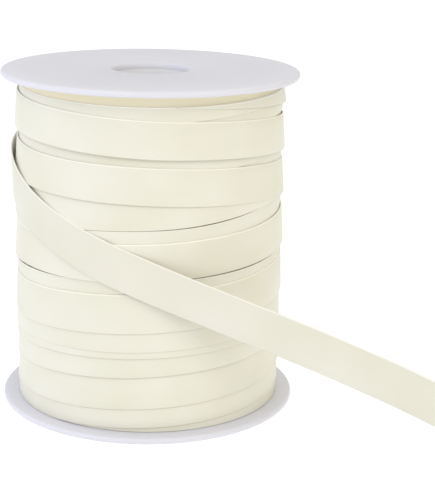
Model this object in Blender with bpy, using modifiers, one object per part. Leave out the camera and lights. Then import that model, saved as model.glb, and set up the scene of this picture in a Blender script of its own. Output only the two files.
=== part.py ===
"""A roll of folded satin bias tape on a two-flange plastic spool, standing on its lower flange.

Lengths are named in millimetres and turned into metres by MM. The spool's axis is Z, the floor is Z = 0,
and the front of the roll faces -Y. Angles run in degrees from the front towards +X.
"""

import math

import bmesh
import bpy
from mathutils import Vector

MM = 0.001

# Spool
FLANGE_DIAMETER = 101.6 * MM
SPOOL_HEIGHT = 115.5 * MM
FLANGE_THICKNESS = 2.1 * MM
RIM_ROUNDING = 0.95 * MM
BORE_DIAMETER = 25.4 * MM
BORE_LIP = 1.3 * MM
CORE_OUTER_DIAMETER = 32.0 * MM
FIT_GAP = 0.3 * MM

# Wound tape
TURN_HEIGHT = 12.2 * MM
TOP_TURN_HEIGHT = 111.3 * MM
TOP_TURN_DIP = 1.6 * MM
RECESS_RADIUS = 42.8 * MM
OUTER_TURN_ROOT = 43.6 * MM
OUTER_TURN_RADII = (46.1 * MM, 45.8 * MM)
OUTER_TURN_TOP_CLEARANCE = 0.2 * MM
OUTER_TURN_LEAST_HEIGHT = 0.15 * MM
OUTER_TURN_START = 10.0
OUTER_TURN_START_RADIUS = 45.2 * MM
OUTER_TURN_LIFT_ANGLE = 70.0
OUTER_TURN_END = 870.0

# Loose end of the tape
LOOSE_THICKNESS = 1.0 * MM
LOOSE_INNER_RADIUS = OUTER_TURN_RADII[0]
LOOSE_RUN_WIDTH = 13.6 * MM
LOOSE_RUN_STEPS = 22

ROUND_STEPS = 72
ANGLE_STEP = 360.0 / ROUND_STEPS
ARC_STEPS = 3
MERGE_DISTANCE = 0.001 * MM
SHARP_ANGLE = math.radians(30.0)

# Inner turns seen from the front, bottom to top. Each row is one turn's face, which laps over the face
# below it: lower edge's height and its rise per turn, then the face's radius at its lower and upper edge.
# The winding has two starts, so a turn comes round again two rows higher. The first and last rows lie
# outside the flanges and only close the winding there.
INNER_STARTS = 2
INNER_TURN_COLUMNS = ("height", "rise", "lower_radius", "upper_radius")
INNER_TURNS = (
    (-12.0, 16.0, 45.2, 44.8),
    (-6.0, 16.0, 45.2, 44.8),
    (3.7, 12.0, 45.2, 44.7),
    (10.3, 16.0, 45.3, 44.7),
    (21.1, 18.0, 45.2, 44.8),
    (27.5, 12.0, 45.1, 44.9),
    (29.7, 13.0, 45.4, 44.9),
    (36.1, 16.0, 45.6, 45.2),
    (49.3, 15.0, 44.6, 44.4),
    (53.5, 16.0, 45.7, 45.3),
    (65.8, 12.0, 44.6, 44.4),
    (70.3, 13.0, 45.6, 45.1),
    (83.0, 16.0, 45.0, 44.8),
    (87.0, 16.0, 45.2, 44.8),
    (99.5, 16.0, 45.2, 44.8),
    (104.0, 16.0, 45.2, 44.8),
    (116.0, 16.0, 45.0, 44.8),
    (121.0, 16.0, 45.0, 44.8),
    (132.0, 16.0, 45.0, 44.8),
    (138.0, 16.0, 45.0, 44.8),
)

# Outer turns, wound downwards over the inner ones: angle run since the front of the first turn, in
# degrees, and the height of the tape's lower edge there, in millimetres.
OUTER_TURN_PATH = (
    (0.0, 109.8),
    (15.0, 109.1),
    (74.0, 106.1),
    (180.0, 101.2),
    (285.0, 96.3),
    (316.0, 95.0),
    (360.0, 93.2),
    (389.0, 92.3),
    (438.0, 89.8),
    (560.0, 84.0),
    (661.0, 79.6),
    (680.0, 79.1),
    (720.0, 78.3),
    (762.0, 76.5),
    (800.0, 74.4),
    (870.0, 72.4),
)

# Loose end round the back and left of the roll: angle from the front, height of the tape's middle, its
# width, and how far its lower and its upper edge stand off the outer turns. The folds open a little
# where nothing presses on them, so the tape grows wider towards its end.
LOOSE_PATH_COLUMNS = ("angle", "height", "width", "lower_stand_off", "upper_stand_off")
LOOSE_PATH = (
    (151.0, 79.0, 12.4, -0.05, 0.35),
    (180.0, 80.6, 12.5, 0.10, 0.40),
    (205.0, 82.9, 12.6, 0.25, 0.60),
    (230.0, 85.1, 12.6, 0.35, 0.90),
    (250.0, 85.6, 12.6, 0.40, 1.15),
    (264.0, 83.7, 12.6, 0.45, 0.80),
    (276.0, 80.7, 12.6, 0.45, 0.60),
    (289.0, 76.8, 12.6, 0.40, 0.45),
    (303.0, 72.0, 12.6, 0.35, 0.40),
    (320.0, 66.6, 12.8, 0.35, 0.40),
    (337.0, 61.0, 13.1, 0.35, 0.35),
    (349.0, 57.2, 13.3, 0.35, 0.35),
)

# The tape's middle line once it has left the roll, down to the floor in front and to the right of it.
LOOSE_RUN = (
    (1.0, -48.0, 53.5),
    (9.4, -49.6, 50.4),
    (19.9, -51.7, 46.7),
    (30.3, -53.7, 43.0),
    (40.2, -55.6, 39.6),
    (51.3, -57.8, 35.6),
    (64.5, -60.4, 30.6),
    (75.9, -62.6, 26.1),
    (86.2, -64.6, 21.7),
    (98.0, -66.9, 16.3),
    (107.0, -68.7, 11.6),
    (116.0, -70.4, 6.3),
)

PARTS_COLLECTION = "bias_tape_roll"


def remove_everything():
    for old in list(bpy.data.objects):
        bpy.data.objects.remove(old, do_unlink=True)


def new_collection(name):
    collection = bpy.data.collections.new(name)
    bpy.context.scene.collection.children.link(collection)
    return collection


def plain_material(name, colour, roughness):
    material = bpy.data.materials.new(name)
    material.use_nodes = True
    shader = material.node_tree.nodes["Principled BSDF"]
    shader.inputs["Base Color"].default_value = (*colour, 1.0)
    shader.inputs["Roughness"].default_value = roughness
    shader.inputs["Metallic"].default_value = 0.0
    return material


def place(name, mesh, material, collection):
    """Put a mesh in the collection as a named object with one material."""
    piece = bpy.data.objects.new(name, mesh)
    collection.objects.link(piece)
    mesh.materials.append(material)
    return piece


def mesh_from(name, vertices, faces):
    """One closed mesh with its doubled points merged and its faces turned outwards."""
    shape = bmesh.new()
    points = [shape.verts.new(vertex) for vertex in vertices]
    for face in faces:
        shape.faces.new([points[index] for index in face])
    bmesh.ops.remove_doubles(shape, verts=shape.verts, dist=MERGE_DISTANCE)
    bmesh.ops.recalc_face_normals(shape, faces=shape.faces)
    mesh = bpy.data.meshes.new(name)
    shape.to_mesh(mesh)
    shape.free()
    mesh.shade_smooth()
    mesh.set_sharp_from_angle(angle=SHARP_ANGLE)
    return mesh


def on_axis_circle(radius, angle, height):
    """A point at an angle from the front, round the spool's axis."""
    turn = math.radians(angle)
    return Vector((radius * math.sin(turn), -radius * math.cos(turn), height))


def blend(start, end, share):
    return start + (end - start) * share


def ease(share):
    """0 to 1 with level ends."""
    return share * share * (3.0 - 2.0 * share)


def hermite(start, end, start_slope, end_slope, share):
    """Cubic between two values, with slopes per whole span."""
    square = share * share
    cube = square * share
    return (start * (2 * cube - 3 * square + 1) + start_slope * (cube - 2 * square + share)
            + end * (3 * square - 2 * cube) + end_slope * (cube - square))


def smooth_value(path, column, at):
    """Read one column of a table at a value of its first column, on a smooth curve through the rows."""
    last = len(path) - 1
    span = next((i for i in range(last) if at <= path[i + 1][0]), last - 1)
    before = path[max(span - 1, 0)]
    start = path[span]
    end = path[span + 1]
    after = path[min(span + 2, last)]
    width = end[0] - start[0]
    start_slope = (end[column] - before[column]) / (end[0] - before[0]) * width
    end_slope = (after[column] - start[column]) / (after[0] - start[0]) * width
    share = min(max((at - start[0]) / width, 0.0), 1.0)
    return hermite(start[column], end[column], start_slope, end_slope, share)


def turned(name, profile, material, collection):
    """A ring turned round Z from a closed profile of (radius, height), outer side first, downwards."""
    mesh = bpy.data.meshes.new(name)
    count = len(profile)
    edges = [(i, (i + 1) % count) for i in range(count)]
    mesh.from_pydata([(radius, 0.0, height) for radius, height in profile], edges, [])
    ring = place(name, mesh, material, collection)
    screw = ring.modifiers.new("turned", "SCREW")
    screw.axis = "Z"
    screw.angle = math.tau
    screw.steps = ROUND_STEPS
    screw.render_steps = ROUND_STEPS
    screw.use_merge_vertices = True
    screw.merge_threshold = 0.00001
    screw.use_smooth_shade = True
    return ring


def arc(centre_radius, centre_height, rounding, start, end):
    """Profile points on a round edge, from one angle to another, 0 pointing outwards and 90 up."""
    points = []
    for step in range(ARC_STEPS + 1):
        turn = math.radians(blend(start, end, step / ARC_STEPS))
        points.append((centre_radius + rounding * math.cos(turn), centre_height + rounding * math.sin(turn)))
    return points


def flange(name, bottom, outside_is_up, material, collection):
    """A disc with a round rim, and a round lip where the bore opens on its outside face."""
    top = bottom + FLANGE_THICKNESS
    rim = FLANGE_DIAMETER / 2 - RIM_ROUNDING
    bore = BORE_DIAMETER / 2
    profile = arc(rim, top - RIM_ROUNDING, RIM_ROUNDING, 90.0, 0.0)
    profile += arc(rim, bottom + RIM_ROUNDING, RIM_ROUNDING, 0.0, -90.0)
    if outside_is_up:
        profile.append((bore, bottom))
        profile += arc(bore + BORE_LIP, top - BORE_LIP, BORE_LIP, 180.0, 90.0)
    else:
        profile += arc(bore + BORE_LIP, bottom + BORE_LIP, BORE_LIP, 270.0, 180.0)
        profile.append((bore, top))
    return turned(name, profile, material, collection)


def core_tube(material, collection):
    """The tube between the flanges that the tape is wound on."""
    outer = CORE_OUTER_DIAMETER / 2
    inner = BORE_DIAMETER / 2
    bottom = FLANGE_THICKNESS + FIT_GAP
    top = SPOOL_HEIGHT - FLANGE_THICKNESS - FIT_GAP
    return turned("spool_core", [(outer, top), (outer, bottom), (inner, bottom), (inner, top)],
                  material, collection)


def top_turn_height(angle):
    """Upper edge of the highest turn: it sags a little at the front and leaves a recess under the flange."""
    return TOP_TURN_HEIGHT - TOP_TURN_DIP * math.cos(math.radians(angle))


def inner_turn(row, angle):
    """Height, lower radius and upper radius of one inner turn at an angle from -180 to 180."""
    here = dict(zip(INNER_TURN_COLUMNS, INNER_TURNS[row]))
    share = abs(angle) / 360.0
    neighbour = row + INNER_STARTS if angle >= 0.0 else row - INNER_STARTS
    if not 0 <= neighbour < len(INNER_TURNS):
        drift = here["rise"] * angle / 360.0
        return (here["height"] + drift) * MM, here["lower_radius"] * MM, here["upper_radius"] * MM
    there = dict(zip(INNER_TURN_COLUMNS, INNER_TURNS[neighbour]))
    direction = 1.0 if angle >= 0.0 else -1.0
    height = hermite(here["height"], there["height"],
                     direction * here["rise"], direction * there["rise"], share)
    lower = blend(here["lower_radius"], there["lower_radius"], ease(share))
    upper = blend(here["upper_radius"], there["upper_radius"], ease(share))
    return height * MM, lower * MM, upper * MM


def clipped(outline, low, high):
    """Hold an outline of (height, radius), bottom to top, between two heights."""
    def radius_at(height):
        for (z0, r0), (z1, r1) in zip(outline, outline[1:]):
            if z0 <= height < z1:
                return blend(r0, r1, (height - z0) / (z1 - z0))
        return outline[-1][1]

    low_end = (low, radius_at(low))
    high_end = (high, radius_at(high))
    return [low_end if z <= low else high_end if z >= high else (z, r) for z, r in outline]


def inner_turns_column(angle):
    """Section of the inner turns at one angle, as a closed loop of (height, radius)."""
    bottom = FLANGE_THICKNESS + FIT_GAP
    top = SPOOL_HEIGHT - FLANGE_THICKNESS - FIT_GAP
    inside = CORE_OUTER_DIAMETER / 2 + FIT_GAP
    outline = []
    below = None
    for row in range(len(INNER_TURNS)):
        height, lower_radius, upper_radius = inner_turn(row, angle)
        if below is not None:
            outline.append((height, below))
        outline.append((height, lower_radius))
        below = upper_radius
    edge = top_turn_height(angle)
    loop = clipped(outline, bottom, edge)
    loop = [(bottom, loop[0][1])] + loop + [(edge, loop[-1][1])]
    return loop + [(edge, RECESS_RADIUS), (top, RECESS_RADIUS), (top, inside), (bottom, inside)]


def inner_turns_mesh():
    """The wound mass of tape, its turns lapping over each other as they climb round it."""
    columns = [inner_turns_column(-180.0 + ANGLE_STEP * step) for step in range(ROUND_STEPS + 1)]
    size = len(columns[0])
    vertices = []
    for step, column in enumerate(columns):
        angle = -180.0 + ANGLE_STEP * step
        vertices += [on_axis_circle(radius, angle, height) for height, radius in column]
    faces = []
    for step in range(ROUND_STEPS):
        for index in range(size):
            after = (index + 1) % size
            near = step * size
            far = near + size
            faces.append((near + index, far + index, far + after, near + after))
    return mesh_from("inner_turns", vertices, faces)


def ribbon_mesh(name, sections):
    """A closed strip through four-cornered sections, with a flat end at each end."""
    corners = len(sections[0])
    vertices = [point for section in sections for point in section]
    faces = []
    for step in range(len(sections) - 1):
        near = step * corners
        far = near + corners
        for index in range(corners):
            after = (index + 1) % corners
            faces.append((near + index, far + index, far + after, near + after))
    last = (len(sections) - 1) * corners
    faces.append(tuple(range(corners)))
    faces.append(tuple(last + index for index in reversed(range(corners))))
    return mesh_from(name, vertices, faces)


def outer_turns_mesh():
    """The last turns, wound downwards over the inner ones, rooted inside them and lifting from them."""
    steps = round((OUTER_TURN_END - OUTER_TURN_START) / ANGLE_STEP)
    sections = []
    for step in range(steps + 1):
        angle = OUTER_TURN_START + ANGLE_STEP * step
        low = smooth_value(OUTER_TURN_PATH, 1, angle) * MM
        high = min(low + TURN_HEIGHT, top_turn_height(angle) - OUTER_TURN_TOP_CLEARANCE)
        low = min(low, high - OUTER_TURN_LEAST_HEIGHT)
        lift = ease(min((angle - OUTER_TURN_START) / OUTER_TURN_LIFT_ANGLE, 1.0))
        lower_radius, upper_radius = [blend(OUTER_TURN_START_RADIUS, full, lift)
                                      for full in OUTER_TURN_RADII]
        sections.append((on_axis_circle(OUTER_TURN_ROOT, angle, low),
                         on_axis_circle(lower_radius, angle, low),
                         on_axis_circle(upper_radius, angle, high),
                         on_axis_circle(OUTER_TURN_ROOT, angle, high)))
    return ribbon_mesh("outer_turns", sections)


def wound_tape(material, collection, cutters):
    """The whole winding as one solid: the inner turns joined with the outer ones."""
    winding = place("tape_wound", inner_turns_mesh(), material, collection)
    strip = place("outer_turns_cutter", outer_turns_mesh(), material, cutters)
    strip.hide_render = True
    strip.display_type = "WIRE"
    join = winding.modifiers.new("outer turns", "BOOLEAN")
    join.operation = "UNION"
    join.solver = "EXACT"
    join.use_self = True
    join.object = strip
    return winding


def loose_section(middle, along, outwards, width, lean):
    """Four corners of the loose tape, its width across its run, its upper edge leaning outwards."""
    across = outwards.cross(along).normalized()
    if across.z < 0.0:
        across.negate()
    half = across * (width / 2) + outwards * (lean / 2)
    depth = outwards * (LOOSE_THICKNESS / 2)
    return middle - half - depth, middle - half + depth, middle + half + depth, middle + half - depth


def loose_wrap_value(name, angle):
    return smooth_value(LOOSE_PATH, LOOSE_PATH_COLUMNS.index(name), angle) * MM


def loose_wrap_middle(angle):
    stand_off = (loose_wrap_value("lower_stand_off", angle) + loose_wrap_value("upper_stand_off", angle)) / 2
    radius = LOOSE_INNER_RADIUS + stand_off + LOOSE_THICKNESS / 2
    return on_axis_circle(radius, angle, loose_wrap_value("height", angle))


def loose_wrap_sections():
    """Sections of the tape where it still lies round the roll."""
    first_angle = LOOSE_PATH[0][0]
    last_angle = LOOSE_PATH[-1][0]
    steps = round((last_angle - first_angle) / ANGLE_STEP)
    sections = []
    for step in range(steps + 1):
        angle = blend(first_angle, last_angle, step / steps)
        along = loose_wrap_middle(angle + 0.5) - loose_wrap_middle(angle - 0.5)
        lean = loose_wrap_value("upper_stand_off", angle) - loose_wrap_value("lower_stand_off", angle)
        sections.append(loose_section(loose_wrap_middle(angle), along, on_axis_circle(1.0, angle, 0.0),
                                      loose_wrap_value("width", angle), lean))
    return sections


def loose_run_sections():
    """Sections of the tape from the roll to its cut end, upright all the way."""
    start = loose_wrap_middle(LOOSE_PATH[-1][0]) / MM
    path = (tuple(start),) + LOOSE_RUN
    leaving_width = loose_wrap_value("width", LOOSE_PATH[-1][0])
    ends = path[0][0], path[-1][0]

    def middle(share):
        x = blend(*ends, share)
        return Vector((x, smooth_value(path, 1, x), smooth_value(path, 2, x))) * MM

    sections = []
    for step in range(1, LOOSE_RUN_STEPS + 1):
        share = step / LOOSE_RUN_STEPS
        half_step = 0.5 / LOOSE_RUN_STEPS
        along = middle(min(share + half_step, 1.0)) - middle(share - half_step)
        outwards = along.cross(Vector((0.0, 0.0, 1.0))).normalized()
        width = blend(leaving_width, LOOSE_RUN_WIDTH, ease(share))
        sections.append(loose_section(middle(share), along, outwards, width, 0.0))
    return sections


def loose_end(material, collection):
    """The free end: round the back and the left with a little slack, then down to the floor."""
    sections = loose_wrap_sections() + loose_run_sections()
    return place("tape_loose_end", ribbon_mesh("tape_loose_end", sections), material, collection)


def main():
    remove_everything()
    collection = new_collection(PARTS_COLLECTION)
    cutters = new_collection("cutters")
    plastic = plain_material("moulded_plastic", (0.70, 0.69, 0.74), 0.45)
    core_plastic = plain_material("core_plastic", (0.62, 0.61, 0.66), 0.5)
    satin = plain_material("satin_tape", (0.86, 0.84, 0.73), 0.38)
    loose_satin = plain_material("satin_loose_end", (0.86, 0.84, 0.73), 0.38)
    flange("spool_flange_bottom", 0.0, False, plastic, collection)
    flange("spool_flange_top", SPOOL_HEIGHT - FLANGE_THICKNESS, True, plastic.copy(), collection)
    core_tube(core_plastic, collection)
    wound_tape(satin, collection, cutters)
    loose_end(loose_satin, collection)


main()
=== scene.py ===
"""Looks of a roll of folded satin bias tape on a white two-flange spool.

Lengths are named in millimetres and turned into metres by MM. The spool's axis is Z, the floor is Z = 0,
and the front of the roll faces -Y. Angles run in degrees from the front towards +X.
"""

import math

import bmesh
import bpy
import numpy as np
from mathutils import Matrix, Vector


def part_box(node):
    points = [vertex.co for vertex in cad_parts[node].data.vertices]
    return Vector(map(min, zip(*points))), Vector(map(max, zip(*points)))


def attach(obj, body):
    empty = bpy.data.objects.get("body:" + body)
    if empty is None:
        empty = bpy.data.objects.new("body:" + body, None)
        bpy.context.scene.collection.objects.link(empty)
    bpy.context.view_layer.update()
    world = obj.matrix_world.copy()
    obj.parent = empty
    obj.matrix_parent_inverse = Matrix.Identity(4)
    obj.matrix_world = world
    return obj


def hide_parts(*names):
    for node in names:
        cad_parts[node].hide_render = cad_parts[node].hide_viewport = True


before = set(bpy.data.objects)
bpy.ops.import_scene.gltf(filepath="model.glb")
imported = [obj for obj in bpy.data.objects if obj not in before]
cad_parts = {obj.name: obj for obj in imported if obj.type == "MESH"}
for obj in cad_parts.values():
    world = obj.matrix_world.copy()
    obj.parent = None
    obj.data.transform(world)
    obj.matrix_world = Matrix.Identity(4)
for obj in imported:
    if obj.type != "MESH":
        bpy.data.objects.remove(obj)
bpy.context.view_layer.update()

bl_info = {
    "name": "Bias Tape Roll",
    "version": (1, 0, 0),
    "blender": (4, 5, 0),
    "location": "3D View > Sidebar > Tape Roll",
    "description": "A spool wound with folded satin bias tape, its free end and a plain studio",
    "category": "Object",
}

MM = 0.001

# Spool, read from the solids it stands for
FLANGE_LOW, FLANGE_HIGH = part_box("spool_flange_top")
FLANGE_RADIUS = FLANGE_HIGH.x
FLANGE_THICKNESS = FLANGE_HIGH.z - FLANGE_LOW.z
SPOOL_HEIGHT = FLANGE_HIGH.z
CORE_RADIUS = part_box("spool_core")[1].x

# Turned pieces: their sides, the steps round an edge, and the finish of every mesh
TURNED_STEPS = 240
ARC_STEPS = 8
MERGE_DISTANCE = 0.002 * MM
SHARP_ANGLE = 35.0

# Under layers: their radius behind the turns and in the recess under the upper flange, how far the
# recess reaches down behind the turns, and the room between them and the spool
BACKING_RADIUS = 43.9 * MM
RECESS_RADIUS = 44.3 * MM
RECESS_OVERLAP = 1.0 * MM
FIT_GAP = 0.3 * MM

# Wound tape: the widths of its inner and outer turns, degrees from one station to the next, the room
# under the lowest turn, and the height where the turns end, which dips at the front and rises as much
# at the back
TURN_WIDTH = 12.5 * MM
OUTER_TURN_WIDTH = 12.2 * MM
TURN_STEP = 2.5
FOOT_GAP = 0.05 * MM
TOP_TURN_HEIGHT = 111.3 * MM
TOP_TURN_DIP = 1.6 * MM

# Slight waves of the cloth: how many in a metre, and a seed for each strip. The loose end goes on from
# the outer turns and has their seed.
WAVES_PER_METRE = 55.0
INNER_SEED = 1.0
OUTER_SEED = 3.0

# Inner turns seen from the front, bottom to top: lower edge's height and its rise per turn, the face's
# radius at its lower and upper edge, and the width. A turn comes round again two rows higher, so the
# winding is two strips. Two turns lie back between their neighbours, with both edges tucked behind them.
# The first and last rows only close the winding behind the flanges.
INNER_STARTS = 2
INNER_TURNS = (
    (-24.0, 16.0, 45.6, 45.0, 12.5),
    (-18.0, 16.0, 45.6, 45.0, 12.5),
    (-12.0, 16.0, 45.6, 45.0, 12.5),
    (-6.0, 16.0, 45.6, 45.0, 12.5),
    (3.7, 12.0, 45.7, 45.0, 12.5),
    (10.3, 16.0, 45.9, 45.0, 12.5),
    (21.1, 18.0, 45.8, 45.0, 12.5),
    (27.5, 12.0, 45.9, 45.1, 12.5),
    (29.7, 13.0, 46.1, 45.2, 12.5),
    (36.1, 16.0, 46.2, 45.85, 13.2),
    (40.65, 13.0, 44.4, 45.9, 12.8),
    (53.5, 13.0, 46.5, 45.85, 12.3),
    (57.45, 13.0, 44.4, 45.9, 12.8),
    (70.3, 13.0, 46.3, 45.1, 12.7),
    (83.0, 20.0, 45.0, 44.5, 13.0),
    (87.0, 16.0, 45.2, 44.5, 12.5),
    (99.5, 16.0, 45.2, 44.5, 12.5),
    (104.0, 16.0, 45.2, 44.5, 12.5),
    (116.0, 16.0, 45.0, 44.5, 12.5),
    (121.0, 16.0, 45.0, 44.5, 12.5),
    (132.0, 16.0, 45.0, 44.5, 12.5),
    (138.0, 16.0, 45.0, 44.5, 12.5),
)

# Where an inner strip leaves its even rise: the strip, the angle run along it, the reach to each side,
# how much higher it lies and how much further out. A small drop opens a slit above the strip's fold.
INNER_SHIFTS = (
    (0, 1750.0, 45.0, 0.15, 0.0),
    (0, 1850.0, 55.0, -0.50, 0.0),
    (0, 2075.0, 60.0, 0.80, 0.30),
    (0, 2225.0, 60.0, 1.60, 0.0),
    (0, 2200.0, 50.0, -0.50, 0.0),
    (1, 1375.0, 50.0, -0.50, 0.0),
    (1, 1725.0, 55.0, 1.50, 0.0),
    (1, 2225.0, 60.0, 1.60, 0.0),
)

# Outer turns, wound downwards: angle run since the front of the first turn, lower edge's height.
OUTER_TURN_PATH = (
    (0.0, 109.8),
    (15.0, 109.1),
    (74.0, 106.1),
    (180.0, 101.2),
    (285.0, 96.3),
    (316.0, 95.0),
    (360.0, 93.2),
    (389.0, 92.3),
    (438.0, 89.8),
    (560.0, 84.0),
    (661.0, 79.6),
    (680.0, 79.1),
    (720.0, 78.3),
    (762.0, 76.5),
    (800.0, 74.4),
    (835.0, 72.9),
    (870.0, 72.3),
)
# The first of them comes out over the inner turns: where it starts, the face's radius there, the angle
# in which it comes out, and the radii of the face's lower and upper edge after that. Its upper edge stays
# below the end of the turns, and a little of its face is left where that cuts it.
OUTER_TURN_START = 10.0
OUTER_TURN_START_RADIUS = 45.2
OUTER_TURN_LIFT_ANGLE = 70.0
OUTER_TURN_RADII = (46.3, 45.5)
OUTER_TURN_CLEARANCE = 0.1 * MM
OUTER_TURN_LEAST_HEIGHT = 0.3 * MM

# Loose end round the roll: angle, height of its middle, width, and how far its lower and upper edge
# stand off LOOSE_INNER_RADIUS. Its direction is taken over a reach in degrees to each side.
LOOSE_PATH = (
    (150.0, 78.4, 12.2, -0.40, -1.20),
    (165.0, 79.2, 12.3, -0.15, -0.45),
    (180.0, 80.6, 12.5, 0.10, 0.25),
    (205.0, 82.9, 12.6, 0.30, 0.75),
    (230.0, 85.1, 12.6, 0.40, 1.15),
    (250.0, 85.6, 12.6, 0.45, 1.50),
    (264.0, 83.7, 12.6, 0.45, 1.20),
    (276.0, 80.7, 12.6, 0.40, 0.85),
    (289.0, 76.8, 12.6, 0.35, 0.30),
    (303.0, 72.0, 12.6, 0.35, -0.20),
    (320.0, 66.6, 12.8, 0.35, -0.42),
    (337.0, 61.0, 13.1, 0.35, -0.42),
    (349.0, 57.2, 13.3, 0.35, -0.20),
)
LOOSE_INNER_RADIUS = 46.1
LOOSE_DIRECTION_REACH = 0.5

# Its width and lean where it leaves the roll
LOOSE_WIDTH = LOOSE_PATH[-1][2]
LOOSE_LEAN = LOOSE_PATH[-1][4] - LOOSE_PATH[-1][3]

# The loose end's middle line from the roll down to the floor, as X, Y and Z, and its width at the end
LOOSE_RUN = (
    (1.0, -48.0, 53.5),
    (9.4, -49.6, 50.4),
    (19.9, -51.7, 46.7),
    (30.3, -53.7, 43.0),
    (40.2, -55.6, 39.6),
    (51.3, -57.8, 35.6),
    (64.5, -60.4, 30.6),
    (75.9, -62.6, 26.1),
    (86.2, -64.6, 21.7),
    (98.0, -66.9, 16.3),
    (107.0, -68.7, 11.6),
    (116.0, -70.4, 6.3),
)
LOOSE_RUN_WIDTH = 13.6
LOOSE_RUN_STEPS = 90

# The loose end starts upright, as the outer turns end, and turns to its own slope in the first sixth of
# its way round the roll. Off the roll its lean is gone after a fifth of the run, and the painted shade of
# cloth with no layers behind it comes in over BARE_SHADE_FADE from where it leaves the outer turns.
LOOSE_TURN_IN = 6.0
LEAN_RELEASE = 5.0
BARE_SHADE_FADE = 80.0 * MM

# Section of the folded tape: the cloth is folded back on itself from both edges, and its raw edges meet
# along the middle of the back with a small slit between them.
SECTION_FOLD_STEPS = 4
SECTION_FACE_STEPS = 5

# Patterns of the materials, each by the size of what it draws. A wave texture of scale 1 turns through
# WAVE_RATE radians in a metre.
FLOAT_PITCH = 0.28274 * MM
FLOAT_ANGLE = 45.0
SLUB_SIZE = 1.1111 * MM
GLEAM_CLOUD_SIZE = 33.333 * MM
LAYER_SIZE = 16.667 * MM
LAYER_FLATNESS = 6.0
FLOW_MARK_SIZE = 35.714 * MM
SKIN_GRAIN = 0.38462 * MM
WAVE_RATE = 20.0

# Pressed folds: from the edge, where the painted shine of a fold and the painted shade of the lower fold
# start and end, and how far from the tape's middle the change from lower to upper edge reaches
FOLD_SHINE = (0.15 * MM, 0.55 * MM)
FOLD_SHADE = (0.05 * MM, 0.30 * MM)
FOLD_CHANGE = 1.0 * MM

# How far the core tube's plastic is painted from the flanges' colour towards white, a painted light that
# keeps the shaded hole pale
CORE_PAINTED_LIGHT = 0.6

# Camera, set by the photograph: its place, its aim in degrees, and a lens for film 36 mm on its long side
CAMERA_DISTANCE = 478.85 * MM
CAMERA_HEIGHT = 185.49 * MM
CAMERA_DOWN = 12.522
CAMERA_RIGHT = 2.792
CAMERA_ROLL = 1.141
CAMERA_SHIFT = -0.15
PHOTO_HEIGHT = 495.0
FOCAL_PIXELS = 1416.0
FILM_LONG_SIDE = 36.0
NEAREST_SEEN = 10.0 * MM
FARTHEST_SEEN = 20.0

# White tent round the roll: its strength at the left and right, times that at the horizon and overhead
TENT_SIDES = (0.66, 0.65)
TENT_HEIGHTS = (0.95, 1.6)
TENT_COLOURS = ("#F3F6FF", "#FFFAEA")

# Soft round lights, all aimed at the middle of the roll: name, place, width, watts and colour
LIGHTS = (
    ("key", (-0.62, -0.85, 0.80), 0.80, 3.6, "#ECEEFC"),
    ("side", (-1.05, 0.12, 0.35), 0.70, 1.3, "#ECEEFC"),
    ("fill", (0.62, -0.85, 0.80), 0.80, 2.2, "#FFF7E2"),
)
LIGHT_AIM = (0.0, 0.0, 0.06)
FLOOR_RADIUS = 6.0
FLOOR_SIDES = 96


def linear(hex_colour):
    """An sRGB hex colour as a linear colour with alpha 1."""
    channels = [int(hex_colour[i:i + 2], 16) / 255.0 for i in (1, 3, 5)]
    return tuple(c / 12.92 if c <= 0.04045 else ((c + 0.055) / 1.055) ** 2.4 for c in channels) + (1.0,)


def sizes():
    """The sizes set in the panel."""
    return bpy.context.scene.tape_roll_sizes


def on_axis_circle(radius, angle, height):
    """A point at an angle from the front, round the spool's axis."""
    turn = math.radians(angle)
    return Vector((radius * math.sin(turn), -radius * math.cos(turn), height))


def outward(angle):
    """Unit vector away from the spool's axis, at an angle from the front."""
    return on_axis_circle(1.0, angle, 0.0)


def blend(start, end, share):
    """A value between two, by share."""
    return start + (end - start) * share


def ease(share):
    """0 to 1 with level ends."""
    return share * share * (3.0 - 2.0 * share)


def hermite(start, end, start_slope, end_slope, share):
    """Cubic between two values, with slopes per whole span."""
    square = share * share
    cube = square * share
    return (start * (2 * cube - 3 * square + 1) + start_slope * (cube - 2 * square + share)
            + end * (3 * square - 2 * cube) + end_slope * (cube - square))


def smooth_row(path, at):
    """The other columns of a table at a value of its first, on smooth curves through its rows."""
    last = len(path) - 1
    span = next((i for i in range(last) if at <= path[i + 1][0]), last - 1)
    before = path[max(span - 1, 0)]
    start = path[span]
    end = path[span + 1]
    after = path[min(span + 2, last)]
    width = end[0] - start[0]
    share = min(max((at - start[0]) / width, 0.0), 1.0)
    values = []
    for column in range(1, len(start)):
        start_slope = (end[column] - before[column]) / (end[0] - before[0]) * width
        end_slope = (after[column] - start[column]) / (after[0] - start[0]) * width
        values.append(hermite(start[column], end[column], start_slope, end_slope, share))
    return values


# Objects and meshes

def place(name, mesh, material):
    """Put a mesh in the scene as an object, in one material or none."""
    piece = bpy.data.objects.new(name, mesh)
    bpy.context.scene.collection.objects.link(piece)
    if material is not None:
        mesh.materials.clear()
        mesh.materials.append(material)
    return piece


def tidy_shell(mesh):
    """Merge doubles, turn the faces outwards and mark the sharp edges."""
    shape = bmesh.new()
    shape.from_mesh(mesh)
    bmesh.ops.remove_doubles(shape, verts=shape.verts, dist=MERGE_DISTANCE)
    bmesh.ops.recalc_face_normals(shape, faces=shape.faces)
    shape.to_mesh(mesh)
    shape.free()
    mesh.shade_smooth()
    mesh.set_sharp_from_angle(angle=math.radians(SHARP_ANGLE))
    return mesh


def arc(centre_radius, centre_height, rounding, start, end):
    """Profile points on a round edge, from one angle to another, 0 pointing outwards and 90 up."""
    points = []
    for step in range(ARC_STEPS + 1):
        turn = math.radians(blend(start, end, step / ARC_STEPS))
        points.append((centre_radius + rounding * math.cos(turn), centre_height + rounding * math.sin(turn)))
    return points


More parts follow.
